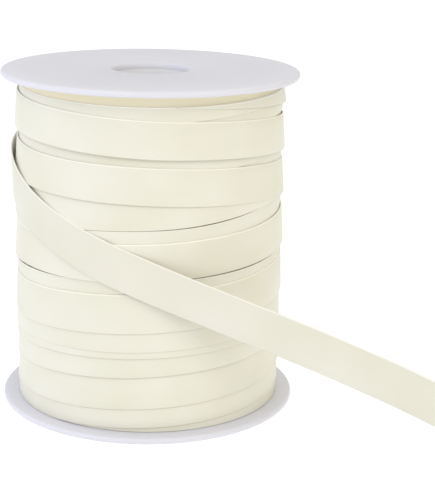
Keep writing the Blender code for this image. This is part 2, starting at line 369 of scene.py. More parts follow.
def turned(name, profile):
    """A closed profile of (radius, height) turned round the axis."""
    count = len(profile)
    vertices = []
    for step in range(TURNED_STEPS):
        angle = 360.0 * step / TURNED_STEPS
        vertices += [on_axis_circle(radius, angle, height) for radius, height in profile]
    faces = []
    for step in range(TURNED_STEPS):
        near = step * count
        far = (step + 1) % TURNED_STEPS * count
        for index in range(count):
            after = (index + 1) % count
            faces.append((near + index, far + index, far + after, near + after))
    mesh = bpy.data.meshes.new(name)
    mesh.from_pydata(vertices, [], faces)
    return tidy_shell(mesh)


def stands_for(piece, node):
    """Let a finished piece ride on the part and stand for a solid of it."""
    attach(piece, "root")
    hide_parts(node)


# Geometry node tree that sweeps the tape's section along a route

def add_node(tree, kind, links=(), **settings):
    """Add a node. Links are (input, value or socket); settings are its properties."""
    node = tree.nodes.new(kind)
    for key, value in settings.items():
        setattr(node, key, value)
    for key, value in dict(links).items():
        socket = node.inputs[key]
        if isinstance(value, bpy.types.NodeSocket):
            tree.links.new(value, socket)
        else:
            socket.default_value = value
    return node


def tape_tree():
    """Sweep a section along a route whose points carry the tape's lower edge, upper edge and outside."""
    tree = bpy.data.node_groups.new("folded_tape", "GeometryNodeTree")
    sockets = (
        ("Geometry", "NodeSocketGeometry"),
        ("Section", "NodeSocketObject"),
        ("Section Width", "NodeSocketFloat"),
        ("Waviness", "NodeSocketFloat"),
        ("Seed", "NodeSocketFloat"),
        ("Material", "NodeSocketMaterial"),
    )
    for name, kind in sockets:
        tree.interface.new_socket(name, in_out="INPUT", socket_type=kind)
    tree.interface.new_socket("Geometry", in_out="OUTPUT", socket_type="NodeSocketGeometry")
    given = add_node(tree, "NodeGroupInput").outputs
    route = given["Geometry"]
    section = add_node(tree, "GeometryNodeObjectInfo", {"Object": given["Section"]}).outputs["Geometry"]
    stations = add_node(tree, "GeometryNodeAttributeDomainSize", {"Geometry": route},
                        component="MESH").outputs["Point Count"]
    corners = add_node(tree, "GeometryNodeAttributeDomainSize", {"Geometry": section},
                       component="MESH").outputs["Point Count"]

    # A tube with as many rings as the route has stations and as many sides as the section has corners
    line = add_node(tree, "GeometryNodeCurvePrimitiveLine", {"End": (1.0, 0.0, 0.0)}).outputs["Curve"]
    line = add_node(tree, "GeometryNodeResampleCurve", {"Curve": line, "Count": stations}).outputs["Curve"]
    loop = add_node(tree, "GeometryNodeCurvePrimitiveCircle", {"Resolution": corners}).outputs["Curve"]
    swept = add_node(tree, "GeometryNodeCurveToMesh",
                     {"Curve": line, "Profile Curve": loop, "Fill Caps": True}).outputs["Mesh"]

    # What the route carries at a point's station, and its corner of the section
    index = add_node(tree, "GeometryNodeInputIndex").outputs["Index"]
    station = add_node(tree, "FunctionNodeIntegerMath", {0: index, 1: corners},
                       operation="DIVIDE_FLOOR").outputs[0]
    corner = add_node(tree, "FunctionNodeIntegerMath", {0: index, 1: corners},
                      operation="MODULO").outputs[0]
    carried = []
    for name, kind in (("lower", "FLOAT_VECTOR"), ("upper", "FLOAT_VECTOR"), ("outwards", "FLOAT_VECTOR"),
                       ("run", "FLOAT")):
        value = add_node(tree, "GeometryNodeInputNamedAttribute", {"Name": name},
                         data_type=kind).outputs["Attribute"]
        carried.append(add_node(tree, "GeometryNodeSampleIndex",
                                {"Geometry": route, "Value": value, "Index": station},
                                data_type=kind, domain="POINT").outputs["Value"])
    lower, upper, outwards, run = carried
    position = add_node(tree, "GeometryNodeInputPosition").outputs["Position"]
    point = add_node(tree, "GeometryNodeSampleIndex",
                     {"Geometry": section, "Value": position, "Index": corner},
                     data_type="FLOAT_VECTOR", domain="POINT").outputs["Value"]
    along_width, outside, _ = add_node(tree, "ShaderNodeSeparateXYZ", {"Vector": point}).outputs

    # The section is stretched from the lower to the upper edge. Its share of the width is 0 in the middle.
    span = add_node(tree, "ShaderNodeVectorMath", {0: upper, 1: lower},
                    operation="SUBTRACT").outputs["Vector"]
    width = add_node(tree, "ShaderNodeVectorMath", {0: span}, operation="LENGTH").outputs["Value"]
    both = add_node(tree, "ShaderNodeVectorMath", {0: lower, 1: upper}, operation="ADD").outputs["Vector"]
    middle = add_node(tree, "ShaderNodeVectorMath", {0: both, "Scale": 0.5},
                      operation="SCALE").outputs["Vector"]
    share = add_node(tree, "ShaderNodeMath", {0: along_width, 1: given["Section Width"]},
                     operation="DIVIDE").outputs["Value"]
    aside = add_node(tree, "ShaderNodeVectorMath", {0: span, "Scale": share},
                     operation="SCALE").outputs["Vector"]
    across = add_node(tree, "ShaderNodeMath", {0: share, 1: width}, operation="MULTIPLY").outputs["Value"]
    cloth = add_node(tree, "ShaderNodeCombineXYZ",
                     {"X": run, "Y": across, "Z": given["Seed"]}).outputs["Vector"]

    # The cloth's slight waves move it in and out, half each way
    noise = add_node(tree, "ShaderNodeTexNoise",
                     {"Vector": cloth, "Scale": WAVES_PER_METRE, "Detail": 2.0, "Roughness": 0.45}).outputs[0]
    centred = add_node(tree, "ShaderNodeMath", {0: noise, 1: 0.5}, operation="SUBTRACT").outputs["Value"]
    wave = add_node(tree, "ShaderNodeMath", {0: centred, 1: given["Waviness"]},
                    operation="MULTIPLY").outputs["Value"]
    depth = add_node(tree, "ShaderNodeMath", {0: outside, 1: wave}, operation="ADD").outputs["Value"]
    raised = add_node(tree, "ShaderNodeVectorMath", {0: outwards, "Scale": depth},
                      operation="SCALE").outputs["Vector"]
    level = add_node(tree, "ShaderNodeVectorMath", {0: middle, 1: aside}, operation="ADD").outputs["Vector"]
    at = add_node(tree, "ShaderNodeVectorMath", {0: level, 1: raised}, operation="ADD").outputs["Vector"]
    shaped = add_node(tree, "GeometryNodeSetPosition",
                      {"Geometry": swept, "Position": at}).outputs["Geometry"]

    # The material reads the place on the cloth and the distance from the nearer fold
    stored = add_node(tree, "GeometryNodeStoreNamedAttribute",
                      {"Geometry": shaped, "Name": "cloth", "Value": cloth},
                      data_type="FLOAT_VECTOR", domain="POINT").outputs["Geometry"]
    from_middle = add_node(tree, "ShaderNodeMath", {0: share}, operation="ABSOLUTE").outputs["Value"]
    from_edge = add_node(tree, "ShaderNodeMath", {0: 0.5, 1: from_middle},
                         operation="SUBTRACT").outputs["Value"]
    fold_distance = add_node(tree, "ShaderNodeMath", {0: from_edge, 1: width},
                             operation="MULTIPLY").outputs["Value"]
    stored = add_node(tree, "GeometryNodeStoreNamedAttribute",
                      {"Geometry": stored, "Name": "fold_distance", "Value": fold_distance},
                      data_type="FLOAT", domain="POINT").outputs["Geometry"]
    real = add_node(tree, "GeometryNodeRealizeInstances", {"Geometry": stored}).outputs["Geometry"]
    dressed = add_node(tree, "GeometryNodeSetMaterial",
                       {"Geometry": real, "Material": given["Material"]}).outputs["Geometry"]
    add_node(tree, "NodeGroupOutput", {"Geometry": dressed})
    return tree


def section_object(width):
    """Outline of the folded tape, across its width in X and outwards in Y, as a loop of points."""
    half = width / 2
    radius = sizes().tape_thickness / 2
    flat = half - radius
    slit = sizes().slit_width / 2
    points = [(blend(-flat, flat, step / SECTION_FACE_STEPS), radius)
              for step in range(SECTION_FACE_STEPS + 1)]
    for step in range(1, SECTION_FOLD_STEPS):
        turn = math.radians(90.0 - 180.0 * step / SECTION_FOLD_STEPS)
        points.append((flat + radius * math.cos(turn), radius * math.sin(turn)))
    points += [(flat, -radius), (slit, -radius), (slit, -radius + sizes().slit_depth),
               (-slit, -radius + sizes().slit_depth), (-slit, -radius), (-flat, -radius)]
    for step in range(1, SECTION_FOLD_STEPS):
        turn = math.radians(-90.0 - 180.0 * step / SECTION_FOLD_STEPS)
        points.append((-flat + radius * math.cos(turn), radius * math.sin(turn)))
    mesh = bpy.data.meshes.new("tape_section")
    mesh.from_pydata([(x, y, 0.0) for x, y in points], [], [tuple(range(len(points)))])
    return place("tape_section", mesh, None)


def middle_line(stations):
    """Middles of the tape at its stations, which are (lower edge, upper edge, outwards)."""
    return [(lower + upper) / 2 for lower, upper, _ in stations]


def route_length(stations):
    """Length of the tape along its middle line."""
    middles = middle_line(stations)
    return sum((after - before).length for before, after in zip(middles, middles[1:]))


def route_mesh(name, stations, run_start):
    """A line of points that carry the tape's edges, its outside and the length run so far."""
    middles = middle_line(stations)
    mesh = bpy.data.meshes.new(name)
    mesh.from_pydata(middles, [(i, i + 1) for i in range(len(middles) - 1)], [])
    for column, label in enumerate(("lower", "upper", "outwards")):
        attribute = mesh.attributes.new(label, "FLOAT_VECTOR", "POINT")
        attribute.data.foreach_set("vector", np.array([s[column] for s in stations], np.float32).ravel())
    run = [run_start]
    for before, after in zip(middles, middles[1:]):
        run.append(run[-1] + (after - before).length)
    mesh.attributes.new("run", "FLOAT", "POINT").data.foreach_set("value", np.array(run, np.float32))
    return mesh


def tape_piece(name, stations, width, seed, material, run_start=0.0):
    """Sweep the folded tape along its stations with the node tree, and turn the result into a mesh."""
    tree = bpy.data.node_groups.get("folded_tape") or tape_tree()
    section = section_object(width)
    guide = place(name + "_route", route_mesh(name + "_route", stations, run_start), None)
    modifier = guide.modifiers.new("folded tape", "NODES")
    modifier.node_group = tree
    values = {"Section": section, "Section Width": width, "Waviness": sizes().waviness, "Seed": seed,
              "Material": material}
    for item in tree.interface.items_tree:
        if item.item_type == "SOCKET" and item.in_out == "INPUT" and item.name in values:
            modifier[item.identifier] = values[item.name]
    guide.update_tag()
    evaluated = guide.evaluated_get(bpy.context.evaluated_depsgraph_get())
    mesh = bpy.data.meshes.new_from_object(evaluated)
    mesh.name = name
    for old in (guide, section):
        bpy.data.objects.remove(old, do_unlink=True)
    if len(mesh.polygons) == 0:
        raise RuntimeError(f"the node tree made no faces for {name}")
    tidy_shell(mesh)
    return place(name, mesh, material)


def joined(name, pieces):
    """Several meshes as one, under one name."""
    with bpy.context.temp_override(active_object=pieces[0], selected_editable_objects=pieces):
        bpy.ops.object.join()
    pieces[0].name = name
    pieces[0].data.name = name
    return pieces[0]


# Stations of the winding

def top_turn_height(angle):
    """Upper edge of the highest turn, which leaves a recess under the flange."""
    return TOP_TURN_HEIGHT - TOP_TURN_DIP * math.cos(math.radians(angle))


def held_between(lower, upper, low, high):
    """Cut a strip's section off at two heights."""
    def at_height(height):
        share = (height - lower.z) / (upper.z - lower.z)
        return lower.lerp(upper, min(max(share, 0.0), 1.0))

    return (at_height(low) if lower.z < low else lower), (at_height(high) if upper.z > high else upper)


def inner_strip_stations(start_row):
    """Stations of one of the two inner strips, from the bottom flange up to the recess."""
    rows = INNER_TURNS[start_row::INNER_STARTS]
    bottom = FLANGE_THICKNESS + FOOT_GAP
    half = sizes().tape_thickness / 2
    stations = []
    steps = round((len(rows) - 1) * 360.0 / TURN_STEP)
    for step in range(steps + 1):
        angle = TURN_STEP * step
        turn = min(int(angle // 360.0), len(rows) - 2)
        share = angle / 360.0 - turn
        low_here, rise_here, *here = rows[turn]
        low_there, rise_there, *there = rows[turn + 1]
        low = hermite(low_here, low_there, rise_here, rise_there, share) * MM
        lower_radius, upper_radius, width = [blend(*pair, ease(share)) * MM for pair in zip(here, there)]
        for strip, centre, reach, lift, swell in INNER_SHIFTS:
            if strip == start_row and abs(angle - centre) < reach:
                share_of_shift = ease(1.0 - abs(angle - centre) / reach)
                low += lift * share_of_shift * MM
                lower_radius += swell * share_of_shift * MM
                upper_radius += swell * share_of_shift * MM
        high = low + width
        top = top_turn_height(angle)
        if high < bottom + half or low > top - half:
            continue
        lower = on_axis_circle(lower_radius - half, angle, low)
        upper = on_axis_circle(upper_radius - half, angle, high)
        lower, upper = held_between(lower, upper, bottom, top)
        stations.append((lower, upper, outward(angle)))
    return stations


def outer_strip_stations():
    """Stations of the outer turns, which run downwards over the inner ones."""
    stations = []
    half = sizes().tape_thickness / 2
    first, last = OUTER_TURN_START, OUTER_TURN_PATH[-1][0]
    steps = round((last - first) / TURN_STEP)
    for step in range(steps + 1):
        angle = blend(first, last, step / steps)
        low = smooth_row(OUTER_TURN_PATH, angle)[0] * MM
        high = min(low + OUTER_TURN_WIDTH, top_turn_height(angle) - OUTER_TURN_CLEARANCE)
        low = min(low, high - OUTER_TURN_LEAST_HEIGHT)
        lift = ease(min((angle - OUTER_TURN_START) / OUTER_TURN_LIFT_ANGLE, 1.0))
        lower_radius, upper_radius = [blend(OUTER_TURN_START_RADIUS, full, lift) * MM - half
                                      for full in OUTER_TURN_RADII]
        stations.append((on_axis_circle(lower_radius, angle, low), on_axis_circle(upper_radius, angle, high),
                         outward(angle)))
    return stations


def loose_wrap_middle(angle):
    """Middle of the loose tape where it goes round the roll."""
    height, _, lower_off, upper_off = smooth_row(LOOSE_PATH, angle)
    radius = (LOOSE_INNER_RADIUS + (lower_off + upper_off) / 2) * MM + sizes().tape_thickness / 2
    return on_axis_circle(radius, angle, height * MM)


def loose_station(middle, along, outwards, width, lean):
    """Edges of the loose tape where it runs along, its upper edge leaning outwards."""
    across = outwards.cross(along).normalized()
    if across.z < 0.0:
        across.negate()
    half = across * (width * MM / 2) + outwards * (lean * MM / 2)
    return middle - half, middle + half, outwards


def loose_stations():
    """Stations of the free end: round the back and left of the roll, then down to the floor."""
    first, last = LOOSE_PATH[0][0], LOOSE_PATH[-1][0]
    steps = round((last - first) / TURN_STEP)
    stations = []
    for step in range(steps + 1):
        angle = blend(first, last, step / steps)
        along = (loose_wrap_middle(angle + LOOSE_DIRECTION_REACH)
                 - loose_wrap_middle(angle - LOOSE_DIRECTION_REACH))
        along.z *= ease(min(step / steps * LOOSE_TURN_IN, 1.0))
        _, width, lower_off, upper_off = smooth_row(LOOSE_PATH, angle)
        stations.append(loose_station(loose_wrap_middle(angle), along, outward(angle), width,
                                      upper_off - lower_off))
    path = (tuple(loose_wrap_middle(last) / MM),) + LOOSE_RUN

    def middle(share):
        x = blend(path[0][0], path[-1][0], share)
        return Vector((x, *smooth_row(path, x))) * MM

    for step in range(1, LOOSE_RUN_STEPS + 1):
        share = step / LOOSE_RUN_STEPS
        half_step = 0.5 / LOOSE_RUN_STEPS
        along = middle(min(share + half_step, 1.0)) - middle(share - half_step)
        outwards = along.cross(Vector((0.0, 0.0, 1.0))).normalized()
        width = blend(LOOSE_WIDTH, LOOSE_RUN_WIDTH, ease(share))
        lean = LOOSE_LEAN * (1.0 - ease(min(share * LEAN_RELEASE, 1.0)))
        stations.append(loose_station(middle(share), along, outwards, width, lean))
    return stations


# Materials

def shader_of(material):
    """The node tree of a new material, and its shader."""
    material.use_nodes = True
    return material.node_tree, material.node_tree.nodes["Principled BSDF"]


def satin_material(colours, name="pressed_bias_satin", painted_shade_from=None):
    """Acetate satin cut on the bias and pressed into folded tape: long floats lie at 45 degrees to its
    run, which gives a soft lustre, and pressing leaves it smooth; its gleams are painted sheen, faint lighter
    clouds."""
    material = bpy.data.materials.new(name)
    tree, shader = shader_of(material)
    cloth = add_node(tree, "ShaderNodeAttribute", attribute_name="cloth").outputs["Vector"]

    # The satin's floats lie about 0.15 mm apart. They are drawn 0.28 mm apart so that they show close up,
    # and from the camera they blend into the lustre.
    on_bias = add_node(tree, "ShaderNodeMapping",
                       {"Vector": cloth, "Rotation": (0.0, 0.0, math.radians(FLOAT_ANGLE))}).outputs["Vector"]
    floats = add_node(tree, "ShaderNodeTexWave",
                      {"Vector": on_bias, "Scale": math.tau / WAVE_RATE / FLOAT_PITCH, "Distortion": 0.8,
                       "Detail": 2.0, "Detail Scale": 1.5})
    # Painted sheen: random lighter clouds, mixed from tape_shade to tape_light, stand in for the satin's soft
    # gleams
    gleam_clouds = add_node(tree, "ShaderNodeTexNoise",
                      {"Vector": cloth, "Scale": 1.0 / GLEAM_CLOUD_SIZE, "Detail": 2.0, "Roughness": 0.5})
    slubs = add_node(tree, "ShaderNodeTexNoise", {"Vector": on_bias, "Scale": 1.0 / SLUB_SIZE, "Detail": 2.0})
    cloudy = add_node(tree, "ShaderNodeMapRange",
                      {"Value": gleam_clouds.outputs["Fac"], "From Min": 0.26, "From Max": 0.74})
    shade = add_node(tree, "ShaderNodeMix",
                     {"Factor": cloudy.outputs["Result"], "A": tuple(colours.tape_shade),
                      "B": tuple(colours.tape_light)}, data_type="RGBA")
    thread = add_node(tree, "ShaderNodeMix",
                      {"Factor": 0.06, "A": shade.outputs["Result"], "B": floats.outputs["Color"]},
                      data_type="RGBA", blend_type="SOFT_LIGHT")

    # Painted highlight: a narrow lighter line along the pressed folds, most at the upper edge, stands in for
    # light caught where the threads bend over
    distance = add_node(tree, "ShaderNodeAttribute", attribute_name="fold_distance").outputs["Fac"]
    run, across, _ = add_node(tree, "ShaderNodeSeparateXYZ", {"Vector": cloth}).outputs
    shine = add_node(tree, "ShaderNodeMapRange",
                     {"Value": distance, "From Min": FOLD_SHINE[0], "From Max": FOLD_SHINE[1],
                      "To Min": 0.75, "To Max": 0.0})
    upwards = add_node(tree, "ShaderNodeMapRange",
                       {"Value": across, "From Min": -FOLD_CHANGE, "From Max": FOLD_CHANGE,
                        "To Min": 0.3, "To Max": 1.0})
    shining = add_node(tree, "ShaderNodeMath", {0: shine.outputs["Result"], 1: upwards.outputs["Result"]},
                       operation="MULTIPLY")
    fold_highlighted = add_node(tree, "ShaderNodeMix",
                      {"Factor": shining.outputs["Value"], "A": thread.outputs["Result"],
                       "B": tuple(colours.tape_fold_highlight)}, data_type="RGBA")

    # Painted shade: the lower fold turns under, away from the light, and is painted darker at its very edge
    under = add_node(tree, "ShaderNodeMapRange",
                     {"Value": distance, "From Min": FOLD_SHADE[0], "From Max": FOLD_SHADE[1],
                      "To Min": 0.6, "To Max": 0.0})
    downwards = add_node(tree, "ShaderNodeMapRange",
                         {"Value": across, "From Min": -FOLD_CHANGE, "From Max": FOLD_CHANGE,
                          "To Min": 1.0, "To Max": 0.0})
    shading = add_node(tree, "ShaderNodeMath", {0: under.outputs["Result"], 1: downwards.outputs["Result"]},
                       operation="MULTIPLY")
    shaded = add_node(tree, "ShaderNodeMix",
                      {"Factor": shading.outputs["Value"], "A": fold_highlighted.outputs["Result"],
                       "B": tuple(colours.tape_fold_shade)}, data_type="RGBA")
    colour = shaded.outputs["Result"]
    if painted_shade_from is not None:
        # Painted shade: with no layers behind it the cloth lets some light through, so the free end is
        # painted a little greyer
        bare_shade = add_node(tree, "ShaderNodeMapRange",
                        {"Value": run, "From Min": painted_shade_from, "From Max": painted_shade_from + BARE_SHADE_FADE})
        colour = add_node(tree, "ShaderNodeMix",
                          {"Factor": bare_shade.outputs["Result"], "A": colour, "B": tuple(colours.bare_cloth_shade)},
                          data_type="RGBA", blend_type="MULTIPLY").outputs["Result"]
    tree.links.new(colour, shader.inputs["Base Color"])

    # The cloth is a little smoother where its painted gleams are lighter, and floats and slubs give it a fine
    # relief
    rough = add_node(tree, "ShaderNodeMapRange",
                     {"Value": cloudy.outputs["Result"], "To Min": 0.46, "To Max": 0.34})
    tree.links.new(rough.outputs["Result"], shader.inputs["Roughness"])
    relief = add_node(tree, "ShaderNodeBump",
                      {"Height": floats.outputs["Fac"], "Strength": 0.12, "Distance": 0.03 * MM})
    relief = add_node(tree, "ShaderNodeBump",
                      {"Height": slubs.outputs["Fac"], "Strength": 0.10, "Distance": 0.03 * MM,
                       "Normal": relief.outputs["Normal"]})
    tree.links.new(relief.outputs["Normal"], shader.inputs["Normal"])
    shader.inputs["Sheen Weight"].default_value = 0.16
    shader.inputs["Sheen Roughness"].default_value = 0.35
    shader.inputs["Specular IOR Level"].default_value = 0.65
    return material


def shaded_loose_satin_material(colours):
    """The same satin where the tape has left the roll, with painted shade that makes it a little greyer."""
    return satin_material(colours, "shaded_loose_bias_satin", route_length(outer_strip_stations()))


def shaded_under_layer_material(colours):
    """The same satin deep in the winding, painted warmer and duller: painted shade for the light that comes
    through and between the layers.
    """
    material = bpy.data.materials.new("warm_shaded_satin_under_layers")
    tree, shader = shader_of(material)
    place_on = add_node(tree, "ShaderNodeTexCoord").outputs["Object"]
    flattened = add_node(tree, "ShaderNodeMapping", {"Vector": place_on, "Scale": (1.0, 1.0, LAYER_FLATNESS)})
    layers = add_node(tree, "ShaderNodeTexNoise",
                      {"Vector": flattened.outputs["Vector"], "Scale": 1.0 / LAYER_SIZE, "Detail": 3.0})
    # Painted shade: a golden cream, with random flattened bands between under_shade and under_light
    tone = add_node(tree, "ShaderNodeMix",
                    {"Factor": layers.outputs["Fac"], "A": tuple(colours.under_shade),
                     "B": tuple(colours.under_light)}, data_type="RGBA")
    tree.links.new(tone.outputs["Result"], shader.inputs["Base Color"])
    shader.inputs["Roughness"].default_value = 0.55
    shader.inputs["Specular IOR Level"].default_value = 0.3
    return material


def moulded_plastic(colours, name="moulded_polystyrene", painted_lightening=0.0):
    """Polystyrene, injection moulded: milky white with a cool cast, a fine even skin and a soft sheen."""
    material = bpy.data.materials.new(name)
    tree, shader = shader_of(material)
    place_on = add_node(tree, "ShaderNodeTexCoord").outputs["Object"]
    flow = add_node(tree, "ShaderNodeTexNoise",
                    {"Vector": place_on, "Scale": 1.0 / FLOW_MARK_SIZE, "Detail": 2.0})
    skin = add_node(tree, "ShaderNodeTexNoise",
                    {"Vector": place_on, "Scale": 1.0 / SKIN_GRAIN, "Detail": 1.0})
    tone = add_node(tree, "ShaderNodeMix",
                    {"Factor": flow.outputs["Fac"], "A": tuple(colours.plastic_shade),
                     "B": tuple(colours.plastic_light)}, data_type="RGBA")
    # Painted light: painted_lightening moves the colour towards white, for the core tube in the shaded hole
    tone = add_node(tree, "ShaderNodeMix",
                    {"Factor": painted_lightening, "A": tone.outputs["Result"], "B": linear("#FFFFFF")},
                    data_type="RGBA")
    tree.links.new(tone.outputs["Result"], shader.inputs["Base Color"])
    rough = add_node(tree, "ShaderNodeMapRange",
                     {"Value": flow.outputs["Fac"], "To Min": 0.38, "To Max": 0.48})
    tree.links.new(rough.outputs["Result"], shader.inputs["Roughness"])
    relief = add_node(tree, "ShaderNodeBump",
                      {"Height": skin.outputs["Fac"], "Strength": 0.05, "Distance": 0.02 * MM})
    tree.links.new(relief.outputs["Normal"], shader.inputs["Normal"])
    shader.inputs["IOR"].default_value = 1.59
    shader.inputs["Subsurface Weight"].default_value = 0.2
    shader.inputs["Subsurface Radius"].default_value = (1.0, 1.0, 1.0)
    shader.inputs["Subsurface Scale"].default_value = 5.0 * MM
    return material


def lit_core_plastic(colours):
    """The same plastic painted whiter, a painted light that keeps the hole pale right down in its shade."""
    return moulded_plastic(colours, "lit_core_polystyrene", CORE_PAINTED_LIGHT)


def floor_material(colours):
    """Opal acrylic sheet, cast and sanded matt, lit from below: even white with soft, pale shadows."""
    material = bpy.data.materials.new("lit_opal_acrylic")
    _, shader = shader_of(material)
    shader.inputs["Base Color"].default_value = tuple(colours.floor)
    shader.inputs["Roughness"].default_value = 0.9
    shader.inputs["Specular IOR Level"].default_value = 0.0
    shader.inputs["Emission Color"].default_value = linear("#FFFFFF")
    shader.inputs["Emission Strength"].default_value = 0.87
    return material


made_materials = {}


def shared(maker):
    """Make a material once and hand it out again."""
    colours = bpy.context.scene.tape_roll_colours
    key = maker.__name__
    if key not in made_materials:
        made_materials[key] = maker(colours)
    return made_materials[key]


# Pieces

def bore_mouth(depth_end):
    """The flared mouth of the bore, as (radius, depth below the flange's face), down to a depth."""
    last = math.degrees(math.asin(1.0 - depth_end / sizes().mouth_depth))
    points = []
    for step in range(ARC_STEPS + 1):
        turn = math.radians(blend(90.0, 180.0 - last, step / ARC_STEPS))
        radius = sizes().bore_radius + sizes().mouth_flare * (1.0 + math.cos(turn))
        points.append((radius, sizes().mouth_depth * (1.0 - math.sin(turn))))
    return points


def make_spool():
    """The two flanges, rounded at the rim and the bore's mouth, and the core tube between them."""
    plastic = shared(moulded_plastic)
    rounding = sizes().rim_rounding
    rim = FLANGE_RADIUS - rounding
    mouth = bore_mouth(FLANGE_THICKNESS)
    for name, bottom, outside_is_up in (("flange_bottom", 0.0, False),
                                        ("flange_top", SPOOL_HEIGHT - FLANGE_THICKNESS, True)):
        top = bottom + FLANGE_THICKNESS
        profile = arc(rim, top - rounding, rounding, 90.0, 0.0)
        profile += arc(rim, bottom + rounding, rounding, 0.0, -90.0)
        if outside_is_up:
            profile += [(radius, top - depth) for radius, depth in reversed(mouth)]
        else:
            profile += [(radius, bottom + depth) for radius, depth in mouth]
        piece = place(name, turned(name, profile), plastic)
        stands_for(piece, "spool_" + name)
    low, high = FLANGE_THICKNESS, SPOOL_HEIGHT - FLANGE_THICKNESS
    inner_mouth = [mouth[-1]]
    inner_mouth += [point for point in bore_mouth(sizes().mouth_depth) if point[1] > FLANGE_THICKNESS]
    profile = [(CORE_RADIUS, high), (CORE_RADIUS, low)] + inner_mouth
    profile += [(radius, SPOOL_HEIGHT - depth) for radius, depth in reversed(inner_mouth)]
    core = place("core_tube", turned("core_tube", profile), shared(lit_core_plastic))
    stands_for(core, "spool_core")


def make_wound_tape():
    """The under layers as a plain ring, with the inner and the outer turns on it."""
    satin = shared(satin_material)
    bottom = FLANGE_THICKNESS + FIT_GAP
    top = SPOOL_HEIGHT - FLANGE_THICKNESS - FIT_GAP
    inside = CORE_RADIUS + FIT_GAP
    shoulder = TOP_TURN_HEIGHT - TOP_TURN_DIP - RECESS_OVERLAP
    profile = [(RECESS_RADIUS, top), (RECESS_RADIUS, shoulder), (BACKING_RADIUS, shoulder),
               (BACKING_RADIUS, bottom), (inside, bottom), (inside, top)]
    pieces = [place("under_layers", turned("under_layers", profile), shared(shaded_under_layer_material))]
    for start in range(INNER_STARTS):
        pieces.append(tape_piece("inner_turns", inner_strip_stations(start), TURN_WIDTH,
                                 INNER_SEED + start, satin))
    pieces.append(tape_piece("outer_turns", outer_strip_stations(), OUTER_TURN_WIDTH, OUTER_SEED, satin))
    wound = joined("wound_tape", pieces)
    stands_for(wound, "tape_wound")


def make_loose_tape():
    """The free end of the tape, which goes on from the outer turns."""
    satin = shared(shaded_loose_satin_material)
    stations = loose_stations()
    width = LOOSE_WIDTH * MM
    loose = tape_piece("loose_tape", stations, width, OUTER_SEED, satin,
                       route_length(outer_strip_stations()))
    stands_for(loose, "tape_loose_end")


def make_camera():
    """The camera that the photograph was taken with, as near as one camera fits it."""
    data = bpy.data.cameras.new("photo_camera")
    data.sensor_width = FILM_LONG_SIDE
    data.lens = FOCAL_PIXELS / PHOTO_HEIGHT * FILM_LONG_SIDE
    data.shift_y = CAMERA_SHIFT
    data.clip_start = NEAREST_SEEN
    data.clip_end = FARTHEST_SEEN
    camera = bpy.data.objects.new("photo_camera", data)
    bpy.context.scene.collection.objects.link(camera)
    down, right = math.radians(CAMERA_DOWN), math.radians(CAMERA_RIGHT)
    aim = Vector((math.sin(right) * math.cos(down), math.cos(right) * math.cos(down), -math.sin(down)))
    level = aim.to_track_quat("-Z", "Y").to_matrix()
    camera.rotation_euler = (level @ Matrix.Rotation(math.radians(CAMERA_ROLL), 3, "Z")).to_euler()
    camera.location = (0.0, -CAMERA_DISTANCE, CAMERA_HEIGHT)
    bpy.context.scene.camera = camera


def soft_light(name, place_at, size, power, colour):
    """A round soft light that aims at the middle of the roll."""
    data = bpy.data.lights.new(name, "AREA")
    data.shape = "DISK"
    data.size = size
    data.energy = power
    data.color = linear(colour)[:3]
    lamp = bpy.data.objects.new(name, data)
    bpy.context.scene.collection.objects.link(lamp)
    lamp.location = place_at
    lamp.rotation_euler = (Vector(LIGHT_AIM) - Vector(place_at)).to_track_quat("-Z", "Y").to_euler()


def white_tent():
    """The world as a white tent, cooler at the left, warmer at the right and brightest overhead."""
    world = bpy.data.worlds.new("white_tent")
    world.use_nodes = True
    tree = world.node_tree
    background = tree.nodes["Background"]
    direction = add_node(tree, "ShaderNodeTexCoord").outputs["Generated"]
    heading = add_node(tree, "ShaderNodeSeparateXYZ", {"Vector": direction}).outputs
    rightwards = add_node(tree, "ShaderNodeMapRange",
                          {"Value": heading["X"], "From Min": -1.0, "From Max": 1.0}).outputs["Result"]
    sides = add_node(tree, "ShaderNodeMapRange",
                     {"Value": rightwards, "To Min": TENT_SIDES[0], "To Max": TENT_SIDES[1]})
    heights = add_node(tree, "ShaderNodeMapRange",
                       {"Value": heading["Z"], "To Min": TENT_HEIGHTS[0], "To Max": TENT_HEIGHTS[1]})
    strength = add_node(tree, "ShaderNodeMath",
                        {0: sides.outputs["Result"], 1: heights.outputs["Result"]}, operation="MULTIPLY")
    tree.links.new(strength.outputs["Value"], background.inputs["Strength"])
    left, right = [linear(colour) for colour in TENT_COLOURS]
    cast = add_node(tree, "ShaderNodeMix", {"Factor": rightwards, "A": left, "B": right}, data_type="RGBA")
    tree.links.new(cast.outputs["Result"], background.inputs["Color"])
    return world


def make_stage():
    """The world, the floor and the lights."""
    scene = bpy.context.scene
    scene.view_settings.view_transform = "Standard"
    scene.world = white_tent()
    mesh = bpy.data.meshes.new("floor")
    shape = bmesh.new()
    bmesh.ops.create_circle(shape, cap_ends=True, segments=FLOOR_SIDES, radius=FLOOR_RADIUS)
    shape.to_mesh(mesh)
    shape.free()
    floor = place("floor", mesh, shared(floor_material))
    for light in LIGHTS:
        soft_light(*light)


# Add-on

def colour_property(name, description, hex_colour):
    """A colour in the panel, from its sRGB hex value."""
    return bpy.props.FloatVectorProperty(name=name, description=description, subtype="COLOR", size=4, min=0.0,
                                         max=1.0, default=linear(hex_colour))


def length_property(name, description, default):
    """A length in the panel."""
    return bpy.props.FloatProperty(name=name, description=description, subtype="DISTANCE", unit="LENGTH",
                                   min=0.0, precision=5, default=default)


